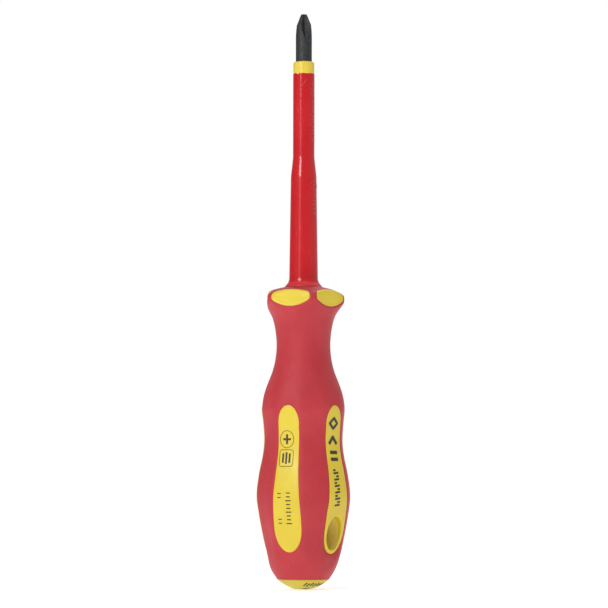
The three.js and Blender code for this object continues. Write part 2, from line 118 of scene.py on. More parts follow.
COLLAR_BORE = SLEEVE_FOOT_RADIUS - 0.1
COLLAR_PROFILE = [
    (109.2, COLLAR_BORE), (109.2, 6.66), (109.75, 6.72), (109.9, 6.76), (110.05, 6.7),
    (110.2, 6.58), (110.55, 6.28), (110.9, 5.99), (111.25, 5.72), (111.6, 5.5),
    (111.85, 5.42), (112, 5.4), (112.05, 5.36), (112.05, COLLAR_BORE), (109.2, COLLAR_BORE),
]

CAP_TOP_Z = 3.5
CAP_PROFILE = [(0, 3), (0.4, 4.3), (1.2, 6.15), (2.3, 8.05), (CAP_TOP_Z, 9.4)]

GRIP_TOP_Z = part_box("soft_grip")[1].z / MM
GRIP_DOME_Z = 106.4
FLANGE_BOTTOM_Z = 97.9
HANDLE_PROFILE = [
    (CAP_TOP_Z, 9.45), (6.95, 11.6), (11.3, 13.12), (17.8, 14.6), (26.5, 16.22),
    (33.7, 17.01), (41.6, 16.11), (48.3, 14.74), (53.65, 14.21), (60.5, 14.59), (65.5, 15.03),
    (70.1, 14.41), (74.5, 12.99), (78.75, 11.35), (83.15, 10.26), (88.65, 9.79), (94.15, 10.28),
    (98.4, 11.28), (100.6, 12.43), (102.5, 13.82), (103.9, 15.07), (104.9, 15.87),
    (105.8, 15.57), (106.5, 14.93), (107.2, 14.13), (107.9, 12.88), (108.7, 10.97),
    (109.45, 8.24), (GRIP_TOP_Z, 7),
]
RIDGE_HEIGHT = 0.3
RIDGE_PROFILE = [(7, 0), (15, RIDGE_HEIGHT), (59, RIDGE_HEIGHT), (75, 0)]
RIDGE_EDGE_ROUNDING = 0.7
FLANGE_CORNER_DISTANCE = 10.5
FLANGE_CORNER_RADIUS = 4.24
FLANGE_EDGE_ROUNDING = 1
FLANGE_WIDEST_Z = 104.9
CORNER_DROP = 0.23

PAD_TOP_Z = 108.45
PAD_BOTTOM_Z = 102.2
PAD_HALF_WIDTH = 7.5
PAD_TOP_ARC_RADIUS = 26
PAD_TOP_ARC_HALF_WIDTH = 5.5
PAD_BOTTOM_ARC_RADIUS = 12.5
PAD_BOTTOM_ARC_HALF_WIDTH = 6.9
PAD_LOW_CORNER_HEIGHT = 1
PAD_HIGH_CORNER_HEIGHT = 1.7
PAD_CORNER_BEND = 0.4
PAD_HIGH_BEND_INSET = 0.2
PAD_POINT_SPACING = 0.25

STRIP_BOTTOM_Z = 13.5
STRIP_HANGING_DROP = 0.6
STRIP_TOP_Z = 66.4
STRIP_BOTTOM_END_LENGTH = 9
STRIP_TOP_END_LENGTH = 6.4
STRIP_WIDE = 5.3
STRIP_NARROW = 4
STRIP_WIDE_Z = 25
STRIP_NARROW_Z = 52
STRIP_PROUD = 0.15
STRIP_END_PROUD = 0.3
STRIP_END_RISE = 9
STRIP_POINT_SPACING = 0.4

VIEW_AZIMUTH = math.radians(39.9)
VIEW_TURN = VIEW_AZIMUTH - math.pi / 2

HOLE_CENTRE_Z = 20.35
HOLE_HALF_WIDTH = 3.9
HOLE_HALF_HEIGHT = 6

# ---- curves


def smooth_curve(stations):
    """A smooth curve through (height, radius) stations, as a function of height."""
    z, r = np.array(stations, float).T
    before = np.maximum(np.arange(len(z)) - 1, 0)
    after = np.minimum(np.arange(len(z)) + 1, len(z) - 1)
    slope = (r[after] - r[before]) / (z[after] - z[before])

    def curve(at):
        at = np.asarray(at, float)
        i = np.clip(np.searchsorted(z, at, side="right") - 1, 0, len(z) - 2)
        span = z[i + 1] - z[i]
        t = np.clip((at - z[i]) / span, 0, 1)
        ease = t * t * (3 - 2 * t)
        bend = span * t * (1 - t) * (slope[i] * (1 - t) - slope[i + 1] * t)
        return r[i] * (1 - ease) + r[i + 1] * ease + bend

    return curve


def smoothstep(value, low, high):
    t = np.clip((np.asarray(value, float) - low) / (high - low), 0, 1)
    return t * t * (3 - 2 * t)


def full_turn(count):
    """Equal angles once round the axis."""
    return np.linspace(0, 2 * math.pi, count, endpoint=False)


def stacked(*coordinates):
    """Points, from an array or a number for each coordinate."""
    return np.stack(np.broadcast_arrays(*coordinates), axis=-1)


def round_axis(radius, turn, z):
    """Points at a distance from the axis, an angle round it and a height."""
    return stacked(radius * np.cos(turn), radius * np.sin(turn), z)


def rounded_min(a, b, rounding):
    """The lesser of two radii, with the edge where they meet rounded."""
    blend = np.maximum(rounding - np.abs(a - b), 0) / rounding
    return np.minimum(a, b) - blend * blend * rounding / 4


handle_profile = smooth_curve(HANDLE_PROFILE)
ridge_profile = smooth_curve(RIDGE_PROFILE)
cap_profile = smooth_curve(CAP_PROFILE)


def angle_from_side(angle):
    """The angle from the middle of the nearest side, from 0 to half a side."""
    return np.abs((angle + HALF_SIDE) % (2 * HALF_SIDE) - HALF_SIDE)


def flange_outline(angle):
    """Distance from the axis to the flange's rounded five-sided outline."""
    from_side = angle_from_side(angle)
    apothem = FLANGE_CORNER_DISTANCE * math.cos(HALF_SIDE) + FLANGE_CORNER_RADIUS
    flat = apothem / np.cos(from_side)
    from_corner = HALF_SIDE - from_side
    offset = FLANGE_CORNER_DISTANCE * np.sin(from_corner)
    reach = np.sqrt(np.maximum(FLANGE_CORNER_RADIUS ** 2 - offset ** 2, 0))
    corner = FLANGE_CORNER_DISTANCE * np.cos(from_corner) + reach
    on_flat = flat * np.sin(from_side) <= FLANGE_CORNER_DISTANCE * math.sin(HALF_SIDE)
    return np.where(on_flat, flat, corner)


def strip_half_width(z):
    t = np.clip((z - STRIP_WIDE_Z) / (STRIP_NARROW_Z - STRIP_WIDE_Z), 0, 1)
    return STRIP_NARROW + (STRIP_WIDE - STRIP_NARROW) * (1 + np.cos(math.pi * t)) / 2


def grip_radius(angle, z):
    """The grip below the flange: round, with five ridges whose crests are flat chords."""
    ridge = ridge_profile(z)
    crest = handle_profile(z) + ridge
    half_width = strip_half_width(z)
    crest_edge = np.arcsin(half_width / crest)
    from_side = angle_from_side(angle)
    slope = np.maximum(from_side - crest_edge, 0) / (HALF_SIDE - crest_edge)
    round_part = crest - ridge * (1 - np.cos(math.pi * slope)) / 2
    chord_drop = crest - np.sqrt(crest ** 2 - half_width ** 2)
    flatness = np.clip(ridge / RIDGE_HEIGHT, 0, 1)
    flat = (crest - flatness * chord_drop) / np.cos(from_side)
    return rounded_min(round_part, flat, RIDGE_EDGE_ROUNDING * flatness + 1e-6)


def handle_radius(angle, z):
    """The whole handle: the grip, and over it the flange cut to five flat sides."""
    z = np.asarray(z, float)
    above_widest = smoothstep(z, FLANGE_WIDEST_Z, FLANGE_WIDEST_Z + 1)
    near_corner = smoothstep(angle_from_side(angle), 0.2 * HALF_SIDE, HALF_SIDE)
    dome = handle_profile(z + CORNER_DROP * above_widest * near_corner)
    flange = rounded_min(dome, flange_outline(angle), FLANGE_EDGE_ROUNDING)
    return np.where(z < FLANGE_BOTTOM_Z, grip_radius(angle, np.minimum(z, FLANGE_BOTTOM_Z)), flange)


def side_angle(side):
    return 2 * math.pi * side / SIDES


def on_handle(facing, s, z):
    """Points on the handle's surface, s sideways and z up as seen facing one direction."""
    s, z = np.broadcast_arrays(np.asarray(s, float), np.asarray(z, float))
    rounds = 8
    most_aside = 0.95

    def angle(radius):
        return np.arcsin(np.clip(s / radius, -most_aside, most_aside)) + facing

    radius = handle_profile(z)
    for _ in range(rounds):
        radius = handle_radius(angle(radius), z)
    return round_axis(radius, angle(radius), z)


def raised_on_handle(facing, s, z, height):
    """The same points, raised along the surface's own normal by a height."""
    step = 0.02
    across = on_handle(facing, s + step, z) - on_handle(facing, s - step, z)
    up = on_handle(facing, s, z + step) - on_handle(facing, s, z - step)
    normal = np.cross(across, up)
    normal /= np.linalg.norm(normal, axis=-1, keepdims=True)
    return on_handle(facing, s, z) + normal * np.asarray(height, float)[..., None]


# ---- outlines on the handle


def arc(centre_z, radius, start, end, count=60):
    turn = np.linspace(start, end, count)
    return stacked(radius * np.cos(turn), centre_z + radius * np.sin(turn))


def quadratic(start, middle, end, count=12):
    t = np.linspace(0, 1, count)[:, None]
    return (1 - t) ** 2 * start + 2 * t * (1 - t) * middle + t * t * end


def evenly(points, spacing):
    """The same path with its points a nearly equal distance apart."""
    length = np.concatenate([[0], np.cumsum(np.linalg.norm(np.diff(points, axis=0), axis=1))])
    at = np.linspace(0, length[-1], max(int(length[-1] / spacing), 4) + 1)
    return stacked(*(np.interp(at, length, points[:, k]) for k in range(2)))


def pad_half():
    """The right half of a flange pad's outline, from its lowest point to its highest."""
    top_centre = PAD_TOP_Z - PAD_TOP_ARC_RADIUS
    top_turn = math.asin(PAD_TOP_ARC_HALF_WIDTH / PAD_TOP_ARC_RADIUS)
    top_corner_z = top_centre + PAD_TOP_ARC_RADIUS * math.cos(top_turn)
    bottom_centre = PAD_BOTTOM_Z + PAD_BOTTOM_ARC_RADIUS
    bottom_turn = math.asin(PAD_BOTTOM_ARC_HALF_WIDTH / PAD_BOTTOM_ARC_RADIUS)
    low = arc(bottom_centre, PAD_BOTTOM_ARC_RADIUS, -math.pi / 2, bottom_turn - math.pi / 2)
    high = arc(top_centre, PAD_TOP_ARC_RADIUS, math.pi / 2 - top_turn, math.pi / 2)
    corner_z = low[-1, 1]
    side_bottom = np.array([PAD_HALF_WIDTH, corner_z + PAD_LOW_CORNER_HEIGHT])
    side_top = np.array([PAD_HALF_WIDTH, top_corner_z - PAD_HIGH_CORNER_HEIGHT])
    low_bend = np.array([PAD_HALF_WIDTH, corner_z + PAD_CORNER_BEND])
    high_bend = np.array([PAD_HALF_WIDTH - PAD_HIGH_BEND_INSET, top_corner_z - PAD_CORNER_BEND])
    low_corner = quadratic(low[-1], low_bend, side_bottom)
    high_corner = quadratic(side_top, high_bend, high[0])
    path = np.concatenate([low, low_corner[1:], high_corner, high[1:]])
    return evenly(path, PAD_POINT_SPACING)


def strip_half(side):
    """The right half of a grip strip's outline, from its lowest point to its highest."""
    bottom = STRIP_BOTTOM_Z - (STRIP_HANGING_DROP if side == 0 else 0)
    bottom_centre = bottom + STRIP_BOTTOM_END_LENGTH
    top_centre = STRIP_TOP_Z - STRIP_TOP_END_LENGTH
    turn = np.linspace(0, math.pi / 2, 60)
    low = stacked(STRIP_WIDE * np.sin(turn), bottom_centre - STRIP_BOTTOM_END_LENGTH * np.cos(turn))
    z = np.linspace(bottom_centre, top_centre, 80)
    flank = stacked(strip_half_width(z), z)
    high = stacked(STRIP_NARROW * np.cos(turn), top_centre + STRIP_TOP_END_LENGTH * np.sin(turn))
    return evenly(np.concatenate([low, flank[1:-1], high]), STRIP_POINT_SPACING)


def closed(half):
    """The whole outline, anticlockwise, from its right half."""
    left = half[1:-1][::-1] * [-1, 1]
    return np.concatenate([half, left])


def inset(half, distance):
    """A half outline moved inwards by a distance."""
    whole = closed(half)
    along = np.roll(whole, -1, axis=0) - np.roll(whole, 1, axis=0)
    along /= np.linalg.norm(along, axis=1, keepdims=True)
    inwards = stacked(-along[:, 1], along[:, 0])
    return (whole + inwards * distance)[:len(half)]


def depth_inside(points, outline):
    """Distance from each point to an outline, positive inside it."""
    nearest = np.full(len(points), np.inf)
    inside = np.zeros(len(points), bool)
    for a, b in zip(outline, np.roll(outline, -1, axis=0)):
        edge = b - a
        offset = points - a
        t = np.clip(offset @ edge / (edge @ edge), 0, 1)
        nearest = np.minimum(nearest, np.linalg.norm(offset - t[:, None] * edge, axis=1))
        crosses = (a[1] > points[:, 1]) != (b[1] > points[:, 1])
        if a[1] != b[1]:
            meets = a[0] + (points[:, 1] - a[1]) / (b[1] - a[1]) * edge[0]
            inside ^= crosses & (points[:, 0] < meets)
    return np.where(inside, nearest, -nearest)


# ---- meshes

WELD = 0.0005 * MM
REVOLVED_SEGMENTS = 192


def piece(name, points, faces, material, slot, replaces=()):
    """A smooth-shaded mesh from millimetre points, which rides with the tool."""
    mesh = bpy.data.meshes.new(name)
    mesh.from_pydata((np.asarray(points, float).reshape(-1, 3) * MM).tolist(), [], faces)
    work = bmesh.new()
    work.from_mesh(mesh)
    bmesh.ops.remove_doubles(work, verts=work.verts, dist=WELD)
    bmesh.ops.dissolve_degenerate(work, edges=work.edges, dist=WELD * 0.1)
    loose = [vert for vert in work.verts if not vert.link_faces]
    bmesh.ops.delete(work, geom=loose, context="VERTS")
    bmesh.ops.recalc_face_normals(work, faces=work.faces)
    for face in work.faces:
        face.smooth = True
    work.to_mesh(mesh)
    work.free()
    mesh.materials.append(material)
    made = bpy.data.objects.new(name, mesh)
    bpy.context.scene.collection.objects.link(made)
    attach(made, "root")
    if replaces:
        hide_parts(*replaces)
    return made


def grid_faces(rows, columns, without=(), first=0, joined=False):
    """Quads of a grid whose rows close on themselves, and its columns too if it is joined, but
    for the (row, column) cells left out. Its points are numbered from first on."""
    faces = []
    for r in range(rows if joined else rows - 1):
        low = first + r * columns
        high = first + (r + 1) % rows * columns
        for c in range(columns):
            n = (c + 1) % columns
            if (r, c) not in without:
                faces.append((low + c, low + n, high + n, high + c))
    return faces


def revolved(profile):
    """Points and faces of a profile of (height, radius) turned round the axis."""
    height, radius = np.array(profile, float).T[..., None]
    points = round_axis(radius, full_turn(REVOLVED_SEGMENTS), height)
    return points, grid_faces(len(profile), REVOLVED_SEGMENTS)


def rounded_corner(centre, radius, count, start=0):
    """(height, radius) points round a corner, from an angle in degrees up to 90, where 0 is
    outwards and 90 upwards."""
    turn = np.radians(np.linspace(start, 90, count))
    return [(centre[0] + radius * math.sin(a), centre[1] + radius * math.cos(a)) for a in turn]


# ---- materials


class Nodes:
    """Adds nodes to a material or a world, where they read the place or the direction."""

    def __init__(self, owner, coordinates):
        owner.use_nodes = True
        self.owner = owner
        self.tree = owner.node_tree
        self.place = self.add("TexCoord", coordinates, {})

    def feed(self, node, inputs):
        """Links each input to another node's output, or sets it to a plain value."""
        for name, value in inputs.items():
            if isinstance(value, bpy.types.NodeSocket):
                self.tree.links.new(value, node.inputs[name])
            else:
                node.inputs[name].default_value = value

    def add(self, kind, output, inputs, **settings):
        """One output of a new node, whose settings are made before its inputs are fed."""
        node = self.tree.nodes.new("ShaderNode" + kind)
        for name, value in settings.items():
            setattr(node, name, value)
        self.feed(node, inputs)
        return node.outputs[output]

    def noise(self, scale, detail, roughness=0.5, stretch=None):
        place = self.place
        if stretch is not None:
            place = self.add("Mapping", "Vector", {"Vector": place, "Scale": stretch})
        return self.add("TexNoise", "Fac", {"Vector": place, "Scale": scale, "Detail": detail,
                                            "Roughness": roughness})

    def ramp(self, value, low, high, low_out=0, high_out=1):
        """Maps a value from one range to another, held at both ends."""
        return self.add("MapRange", "Result", {"Value": value, "From Min": low, "From Max": high,
                                               "To Min": low_out, "To Max": high_out})

    def patches(self, scale, detail, low, high, low_out=0, high_out=1, roughness=0.5):
        """Noise mapped from one range to another."""
        return self.ramp(self.noise(scale, detail, roughness), low, high, low_out, high_out)

    def mixed(self, factor, a, b):
        """Mixes two colours, each a link or four numbers, by a factor."""
        return self.add("Mix", "Result", {"Factor": factor, "A": a, "B": b}, data_type="RGBA")

    def bumped(self, height, distance, strength, **under):
        """A normal bumped by a height, over another Normal where one is given."""
        return self.add("Bump", "Normal",
                        {"Height": height, "Distance": distance, "Strength": strength, **under})

    def times(self, a, b):
        return self.add("Math", "Value", {0: a, 1: b}, operation="MULTIPLY")

    def shaded(self, inputs):
        """The material, once its shader's inputs are fed."""
        self.feed(self.tree.nodes["Principled BSDF"], inputs)
        return self.owner


def surface(name):
    return Nodes(bpy.data.materials.new(name), "Object")


def rgba(red, green, blue):
    """A screen colour from 0 to 255 as the linear colour that shaders take."""
    def linear(value):
        value /= 255
        return value / 12.92 if value <= 0.04045 else ((value + 0.055) / 1.055) ** 2.4
    return (linear(red), linear(green), linear(blue), 1)


def soft_red():
    """Satin thermoplastic elastomer: fine grain, faint mottling and a little lint."""
    made = surface("soft_red_elastomer")
    mottled = made.mixed(made.patches(90, 2, 0.35, 0.65), rgba(181, 42, 51), rgba(189, 50, 59))
    lint = made.patches(1100, 1, 0.775, 0.8)
    grain = made.bumped(made.noise(5200, 2), 0.00004, 0.35)
    return made.shaded({
        "Base Color": made.mixed(lint, mottled, rgba(206, 92, 96)),
        "Roughness": made.patches(60, 2, 0.3, 0.7, 0.52, 0.62),
        "Normal": made.bumped(made.noise(180, 2), 0.0003, 0.08, Normal=grain),
        "IOR": 1.46,
        "Sheen Weight": 0.05,
        "Sheen Roughness": 0.5,
        "Sheen Tint": (1, 0.75, 0.75, 1),
    })


def gloss_red(name, deep, bright, smoothest, roughest):
    """Smooth extruded sleeve: gloss with faint lengthwise draw lines and scuffs."""
    made = surface(name)
    drawn = made.bumped(made.noise(2200, 2, stretch=(1, 1, 0.03)), 0.00003, 0.3)
    return made.shaded({
        "Base Color": made.mixed(made.patches(70, 2, 0.3, 0.7), deep, bright),
        "Roughness": made.patches(240, 3, 0.35, 0.7, smoothest, roughest),
        "Normal": made.bumped(made.noise(320, 1), 0.0002, 0.12, Normal=drawn),
        "IOR": 1.5,
    })


def hard_yellow(name, bright, deep, roughness):
    """Moulded hard plastic: even colour, faint orange peel and a few specks."""
    made = surface(name)
    toned = made.mixed(made.patches(120, 3, 0.3, 0.7), deep, bright)
    specks = made.patches(1100, 1, 0.77, 0.79)
    return made.shaded({
        "Base Color": made.mixed(specks, toned, rgba(196, 168, 60)),
        "Roughness": made.patches(300, 2, 0.3, 0.7, roughness - 0.04, roughness + 0.05),
        "Normal": made.bumped(made.noise(1500, 2), 0.00004, 0.25),
        "IOR": 1.49,
    })


def black_steel():
    """Black oxide on ground steel: mottled, satin, with fine grinding lines."""
    made = surface("black_oxide_steel")
    mottle = made.patches(700, 4, 0.3, 0.7, roughness=0.65)
    ground = made.bumped(made.noise(5000, 2, stretch=(0.15, 0.15, 1)), 0.00003, 0.3)
    return made.shaded({
        "Base Color": made.mixed(mottle, rgba(24, 25, 27), rgba(50, 53, 55)),
        "Roughness": made.patches(500, 3, 0.3, 0.7, 0.46, 0.6),
        "Normal": made.bumped(made.noise(1600, 3), 0.00006, 0.35, Normal=ground),
        "Metallic": 0.2,
        "IOR": 1.55,
    })


def print_black():
    """Pad-printed ink: near black, slightly uneven."""
    made = surface("printed_ink")
    patchy = made.patches(1800, 2, 0.35, 0.65)
    return made.shaded({
        "Base Color": made.mixed(patchy, rgba(42, 40, 36), rgba(62, 58, 44)),
        "Roughness": 0.5,
    })


def pale_scuff():
    """Scratched plastic: the sleeve's red, whitened and rough."""
    made = surface("scuffed_red")
    broken = made.patches(3000, 2, 0.35, 0.6)
    return made.shaded({
        "Base Color": made.mixed(broken, rgba(206, 60, 64), rgba(224, 132, 134)),
        "Roughness": 0.6,
    })


def pale_floor():
    """A pale floor, lit a little more from within far from the object, where the lamps fade."""
    made = surface("pale_floor")
    tone = made.patches(3, 2, 0.3, 0.7)
    away = made.add("VectorMath", "Value", {0: made.place}, operation="LENGTH")
    return made.shaded({
        "Base Color": made.mixed(tone, (0.9, 0.9, 0.9, 1), (0.94, 0.94, 0.94, 1)),
        "Roughness": 0.9,
        "Emission Color": (1, 1, 1, 1),
        "Emission Strength": made.ramp(away, 0.9, 1.8, 0.42, 0.62),
    })

SOFT_RED = soft_red()
GLOSS_RED = gloss_red("gloss_red_sleeve", rgba(189, 22, 30), rgba(197, 30, 36), 0.14, 0.2)
# The collar's red is the sleeve's gloss red painted lighter: painted light on the cone.
COLLAR_RED_PAINTED_LIGHT = gloss_red("satin_red_collar_painted_light", rgba(207, 24, 31), rgba(214, 31, 37), 0.4, 0.5)
INLAY_YELLOW = hard_yellow("inlay_yellow", rgba(225, 201, 54), rgba(219, 193, 46), 0.38)
SLEEVE_YELLOW = hard_yellow("sleeve_yellow", rgba(230, 205, 78), rgba(225, 197, 68), 0.3)
# The hole's wall is the inlay yellow painted paler: painted light inside the hanging hole.
HOLE_YELLOW_PAINTED_LIGHT = hard_yellow("hole_yellow_painted_light", rgba(230, 206, 104), rgba(224, 198, 94), 0.5)
# The cap's yellow is the inlay yellow painted darker and duller: painted shade on the cap.
CAP_YELLOW_PAINTED_SHADE = hard_yellow("cap_yellow_painted_shade", rgba(208, 194, 58), rgba(203, 187, 50), 0.38)
BLACK_STEEL = black_steel()
PRINT_BLACK = print_black()
PALE_SCUFF = pale_scuff()

# ---- blade


def rod_radius(z):
    """Radius of the rod before its flutes are cut: a slight lead, then the tip's cone."""
    lead_end = BLADE_SHOULDER_Z + 1
    out_of_the_way = 9
    lead = np.interp(z, [BLADE_FULL_Z, lead_end], [BLADE_RADIUS, BLADE_SHOULDER_RADIUS])
    cone = np.interp(z, [BLADE_SHOULDER_Z, TOTAL_LENGTH], [BLADE_SHOULDER_RADIUS, BLADE_END_RADIUS])
    met = np.where(z < BLADE_SHOULDER_Z - 1, out_of_the_way, cone)
    return np.where(z < lead_end, rounded_min(lead, met, SHOULDER_ROUNDING), cone)


def flute_radius(angle, z):
    """Distance from the axis to the wall of the nearest flute."""
    softness = 0.05
    quarter = 2 * math.pi / FLUTES
    turn = (angle - FLUTE_TURN + quarter / 2) % quarter - quarter / 2
    back = np.maximum(FLUTE_STRAIGHT_Z - z, 0) / (FLUTE_STRAIGHT_Z - FLUTE_END_Z)
    root = FLUTE_ROOT_RADIUS + (BLADE_RADIUS - FLUTE_ROOT_RADIUS) * back ** 2
    soft = np.sqrt(np.sin(turn) ** 2 + softness ** 2) - softness
    open_to = np.cos(turn) - soft / math.tan(FLUTE_HALF_ANGLE)
    return root / np.maximum(open_to, 0.05)


def blade():
    segments = 360
    levels = np.concatenate([
        [TANG_END_Z, TANG_END_Z + TANG_CHAMFER],
        np.linspace(60, FLUTE_END_Z - 1, 12),
        np.linspace(FLUTE_END_Z - 0.8, BLADE_FULL_Z, 30),
        np.linspace(BLADE_FULL_Z, TOTAL_LENGTH - TIP_ROUNDING, 72)[1:],
    ])
    turn = full_turn(segments)
    z = levels[:, None]
    radius = rounded_min(rod_radius(z), flute_radius(turn, z), FLUTE_EDGE_ROUNDING)
    radius[0] -= TANG_CHAMFER
    rings = list(round_axis(radius, turn, z))
    top = rings[-1]
    for share, lift in ((0.94, 0.04), (0.85, TIP_ROUNDING), (0.5, TIP_ROUNDING), (0, TIP_ROUNDING)):
        ring = top * share
        ring[:, 2] = TOTAL_LENGTH - TIP_ROUNDING + lift
        rings.append(ring)
    foot = rings[0] * [0, 0, 1]
    piece("blade_rod", [foot] + rings, grid_faces(len(rings) + 1, segments),
          BLACK_STEEL, "blade_steel", ["blade"])


def tang_wings():
    """The two coined wings that key the tang into the handle."""
    half_t = WING_THICKNESS / 2
    side = WING_HALF_WIDTH
    inner = side - WING_CORNER
    low = WING_BOTTOM_Z + WING_CORNER
    high = WING_TOP_Z - WING_CORNER
    outline = [
        (inner, WING_BOTTOM_Z), (side, low), (side, high), (inner, WING_TOP_Z),
        (-inner, WING_TOP_Z), (-side, high), (-side, low), (-inner, WING_BOTTOM_Z),
    ]
    count = len(outline)
    back = [(-half_t, y, z) for y, z in outline]
    front = [(half_t, y, z) for y, z in outline]
    faces = [tuple(range(count))[::-1], tuple(range(count, 2 * count))]
    made = piece("blade_tang_wings", back + front, faces + grid_faces(2, count), BLACK_STEEL,
                 "blade_steel")
    bevel = made.modifiers.new("rounded", "BEVEL")
    bevel.width = WING_EDGE_ROUNDING * MM
    bevel.segments = 3


# ---- insulation


def inner_insulation():
    bore = BLADE_RADIUS + BORE_CLEARANCE
    top = INNER_SLEEVE_TOP_Z
    corner = (top - RING_ROUNDING, RING_RADIUS - RING_ROUNDING)
    profile = [
        (INNER_SLEEVE_BOTTOM_Z, bore), (INNER_SLEEVE_BOTTOM_Z, INNER_SLEEVE_RADIUS),
        (RING_BOTTOM_Z - 1.4, INNER_SLEEVE_RADIUS), (RING_BOTTOM_Z - 1.2, RING_RADIUS - 0.12),
        (RING_BOTTOM_Z - 0.4, RING_RADIUS), (RING_BOTTOM_Z + 0.5, RING_RADIUS),
        (RING_BOTTOM_Z + 1.4, RING_RADIUS - 0.015), (RING_BOTTOM_Z + 2.4, RING_RADIUS),
        *rounded_corner(corner, RING_ROUNDING, 9),
        (top - 0.05, bore + 0.1), (top - 0.2, bore), (INNER_SLEEVE_BOTTOM_Z, bore),
    ]
    piece("inner_insulation_sleeve", *revolved(profile), SLEEVE_YELLOW, "inner_sleeve",
          ["inner_insulation"])


def sleeve_radius(z):
    """The outer sleeve: thin near the ring, a taper, then slowly thicker to its foot."""
    low = np.interp(z, [SLEEVE_FOOT_Z, SLEEVE_STEP_BOTTOM_Z],
                    [SLEEVE_FOOT_RADIUS, SLEEVE_STEP_RADIUS])
    t = smoothstep(z, SLEEVE_STEP_BOTTOM_Z, SLEEVE_STEP_TOP_Z)
    straight = np.clip((z - SLEEVE_STEP_BOTTOM_Z)
                       / (SLEEVE_STEP_TOP_Z - SLEEVE_STEP_BOTTOM_Z), 0, 1)
    share = (1 - STEP_STRAIGHTNESS) * t + STEP_STRAIGHTNESS * straight
    flare = FOOT_FLARE * np.exp(-np.maximum(z - SLEEVE_FOOT_Z, 0) / FOOT_FLARE_LENGTH)
    return low + (SLEEVE_THIN_RADIUS - SLEEVE_STEP_RADIUS) * share + flare


def outer_insulation():
    """The red sleeve, its top edge cut unevenly and nicked once."""
    top = SLEEVE_TOP_Z
    body = np.concatenate([
        np.linspace(SLEEVE_BOTTOM_Z, 110, 6),
        np.linspace(111, 115, 21),
        np.linspace(116, 149, 34),
        np.linspace(149.4, 159, 30),
        np.linspace(160, top - 0.3, 30),
    ])
    radius = SLEEVE_THIN_RADIUS
    bore = INNER_SLEEVE_RADIUS + 0.1
    corner = (top - SLEEVE_EDGE_ROUNDING, radius - SLEEVE_EDGE_ROUNDING)
    profile = [(z, float(sleeve_radius(z))) for z in body]
    profile += rounded_corner(corner, SLEEVE_EDGE_ROUNDING, 5)
    profile += [(top, radius - 0.3), (top - 2, bore), (SLEEVE_BOTTOM_Z, bore), profile[0]]
    points, faces = revolved(profile)
    turn = full_turn(REVOLVED_SEGMENTS)
    near_top = smoothstep(points[..., 2], top - 1.2, top - 0.2)
    uneven = sum(height * np.sin(times * turn + start) for height, times, start in CUT_WAVES)
    notch = NOTCH_DEPTH * np.exp(-((turn - NOTCH_AT) / NOTCH_WIDTH) ** 2)
    points[..., 2] += near_top * (uneven - CUT_DROP - notch)
    piece("outer_insulation_sleeve", points, faces, GLOSS_RED, "outer_sleeve",
          ["outer_insulation"])


def neck_collar():
    """The red cone that closes the handle round the sleeve, with a small fillet above it. Its red is
    the sleeve's gloss red painted lighter, as painted light on the cone.
    """
    piece("neck_cone", *revolved(COLLAR_PROFILE), COLLAR_RED_PAINTED_LIGHT, "outer_sleeve", ["neck_collar"])


# ---- soft grip

GRIP_COLUMNS = 300
RECESS = 0.75
RECESS_SLOPE = (0.15, 0.6)
PAD_LIP = 0.2
STRIP_LIP = 0.07
LIP_DISTANCE = 0.55
LIP_WIDTH = 0.5
INLAY_HALF_ANGLE = 0.75
PAD_ZONE = (100, GRIP_TOP_Z)
STRIP_ZONE = (11, 70)


def grip_levels():
    low = np.linspace(CAP_TOP_Z + 0.2, FLANGE_BOTTOM_Z - 0.4, 190)
    high = np.linspace(FLANGE_BOTTOM_Z, GRIP_DOME_Z, 36)
    rise = np.sin(np.linspace(0, math.pi / 2, 24)[1:])
    return np.concatenate([low, high, GRIP_DOME_Z + (GRIP_TOP_Z - GRIP_DOME_Z) * rise])


def grip_surface(turn, z):
    """The grip's radius, lowered under the inlays and with a lip round each of them."""
    radius = handle_radius(turn, z)
    for side in range(SIDES):
        from_side = (turn - side_angle(side) + math.pi) % (2 * math.pi) - math.pi
        for half, (low, high), lip in ((pad_half(), PAD_ZONE, PAD_LIP),
                                       (strip_half(side), STRIP_ZONE, STRIP_LIP)):
            near = (np.abs(from_side) < INLAY_HALF_ANGLE) & (z > low) & (z < high)
            flat = stacked(radius[near] * np.sin(from_side[near]), z[near])
            depth = depth_inside(flat, closed(half))
            lowered = RECESS * smoothstep(depth, *RECESS_SLOPE)
            raised = lip * np.exp(-((depth + LIP_DISTANCE) / LIP_WIDTH) ** 2)
            radius[near] += raised - lowered
    return radius


def hole_oval(turn, grow):
    """(across, up) points of the hanging hole's oval, grown by a margin."""
    return stacked((HOLE_HALF_WIDTH + grow) * np.cos(turn),
                   HOLE_CENTRE_Z + (HOLE_HALF_HEIGHT + grow) * np.sin(turn))


def hole_ring(row, column, half_rows, half_columns):
    """Indices of the grid points on a rectangle round a point, anticlockwise from its
    lower right corner."""
    rows = [row - half_rows + i for i in range(2 * half_rows)]
    columns = [column + half_columns - i for i in range(2 * half_columns)]
    ring = [(r, column + half_columns) for r in rows]
    ring += [(row + half_rows, c) for c in columns]
    ring += [(2 * row - r, column - half_columns) for r in rows]
    ring += [(row - half_rows, 2 * column - c) for c in columns]
    return [(r, c % GRIP_COLUMNS) for r, c in ring]


